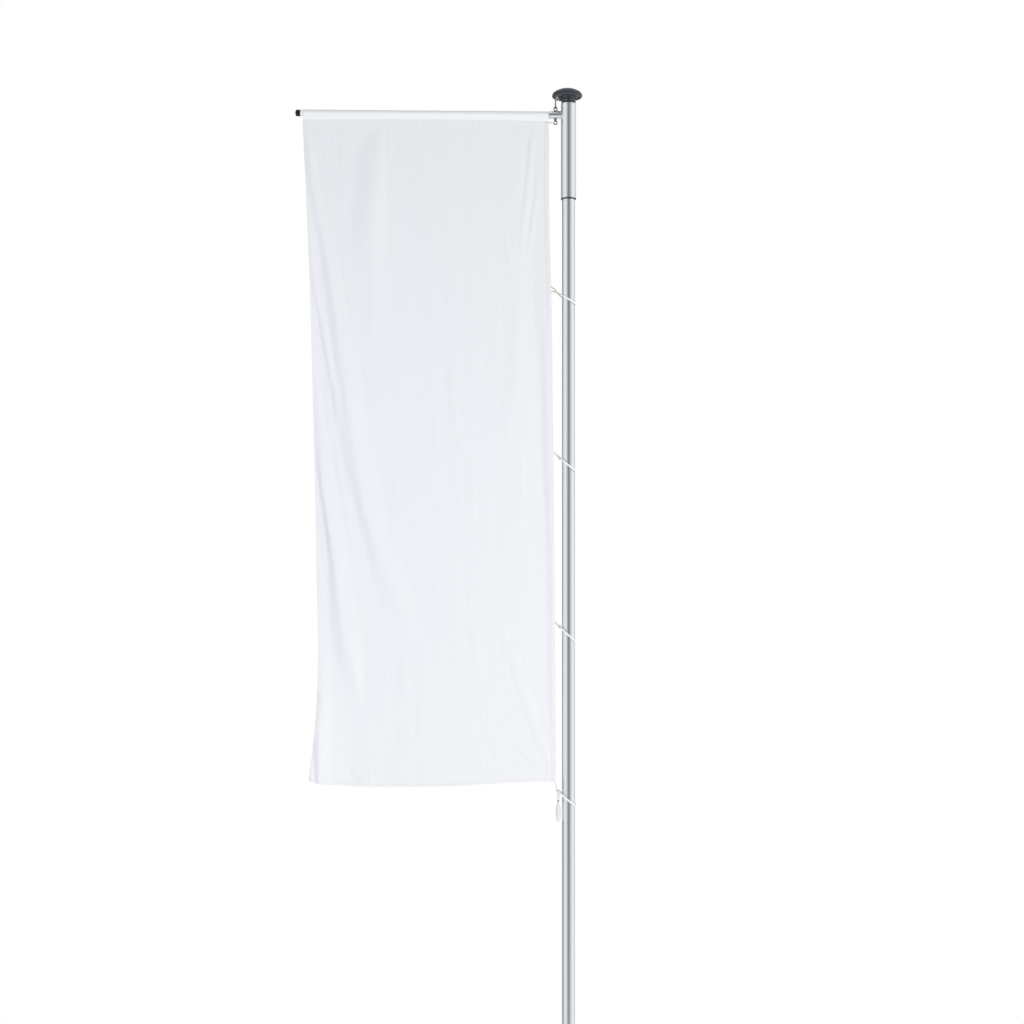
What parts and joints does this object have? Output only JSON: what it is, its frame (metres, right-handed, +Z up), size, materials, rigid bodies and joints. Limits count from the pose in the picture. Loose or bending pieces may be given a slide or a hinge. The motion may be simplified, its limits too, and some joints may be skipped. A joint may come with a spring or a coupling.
{
  "type": "flagpole with a rotating hoistable boom and banner",
  "caption": "Round aluminium flagpole with a swivelling mushroom head, a hoistable boom carrier, a tall plain white banner, mast loops and a hanging weight.",
  "frame": {"origin": "centre of the pole's flat foot at ground level", "axes": "+Z up along the pole, -X along the boom and banner, -Y towards the viewer"},
  "size_m": [1.7215, 0.181, 7.996],
  "materials": {
    "satin_aluminium": "satin silver anodised",
    "galvanised_steel": "hot-dip galvanised",
    "stainless_steel": "turned and drawn stainless",
    "black_plastic": "moulded, fine grain",
    "anthracite_plastic": "moulded, half gloss",
    "white_plastic": "moulded",
    "grey_plastic": "moulded",
    "white_boom": "white powder coat",
    "banner_cloth": "thin knitted polyester",
    "white_webbing": "woven webbing",
    "white_cord": "braided",
    "grey_rope": "braided, flecked",
    "white_loop_cord": "plastic-coated cord",
    "coated_weight": "iron weight in a white plastic coat"
  },
  "bodies": {
    "mast": {"pole_tube": "satin_aluminium", "foot_plug": "black_plastic", "ground_sleeve": "galvanised_steel", "wedge_ring": "black_plastic", "locking_screws": "stainless_steel", "head_bearing": "black_plastic"},
    "head": {"head_cap": "anthracite_plastic", "head_neck": "anthracite_plastic", "head_spigot": "stainless_steel", "pulley_bracket": "stainless_steel", "pulley_axle": "stainless_steel", "halyard_top": "grey_rope", "halyard": "grey_rope"},
    "pulley": {"guide_pulley": "white_plastic"},
    "carrier": {"halyard_loop": "grey_rope", "carrier_sleeve": "satin_aluminium", "glide_ring_top": "black_plastic", "glide_ring_bottom": "black_plastic", "boom_socket": "satin_aluminium", "boom_tube": "white_boom", "boom_end_cap": "black_plastic", "eye_bolt": "stainless_steel", "eye_nut": "stainless_steel", "banner_tunnel": "banner_cloth", "banner_panel": "banner_cloth", "banner_edge_band": "white_webbing", "top_corner_cord": "white_cord", "bottom_corner_cord": "white_cord", "edge_tie_1": "white_cord", "edge_tie_2": "white_cord", "edge_tie_3": "white_cord", "loop_clip_1": "grey_plastic", "loop_clip_2": "grey_plastic", "loop_clip_3": "grey_plastic", "corner_ring": "white_plastic", "mast_loop_1": "white_loop_cord", "mast_loop_2": "white_loop_cord", "mast_loop_3": "white_loop_cord", "mast_loop_4": "white_loop_cord"},
    "weight": {"weight_clip": "grey_plastic", "counterweight": "coated_weight"}
  },
  "joints": [
    {"name": "head_swivel", "type": "hinge", "parent": "mast", "child": "head", "pos_m": [0, 0, 7.905], "axis": [0, 0, 1], "continuous": true},
    {"name": "guide_pulley_spin", "type": "hinge", "parent": "head", "child": "pulley", "pos_m": [-0.068, 0, 7.93], "axis": [0, 1, 0], "continuous": true},
    {"name": "boom_hoist", "type": "slide", "parent": "head", "child": "carrier", "axis": [0, 0, 1], "range_m": [-3.4, 0], "deforming": ["halyard"]},
    {"name": "weight_swing", "type": "hinge", "parent": "carrier", "child": "weight", "pos_m": [-0.0615, 0, 3.7805], "axis": [0, 1, 0], "range_deg": [0, 40]}
  ]
}
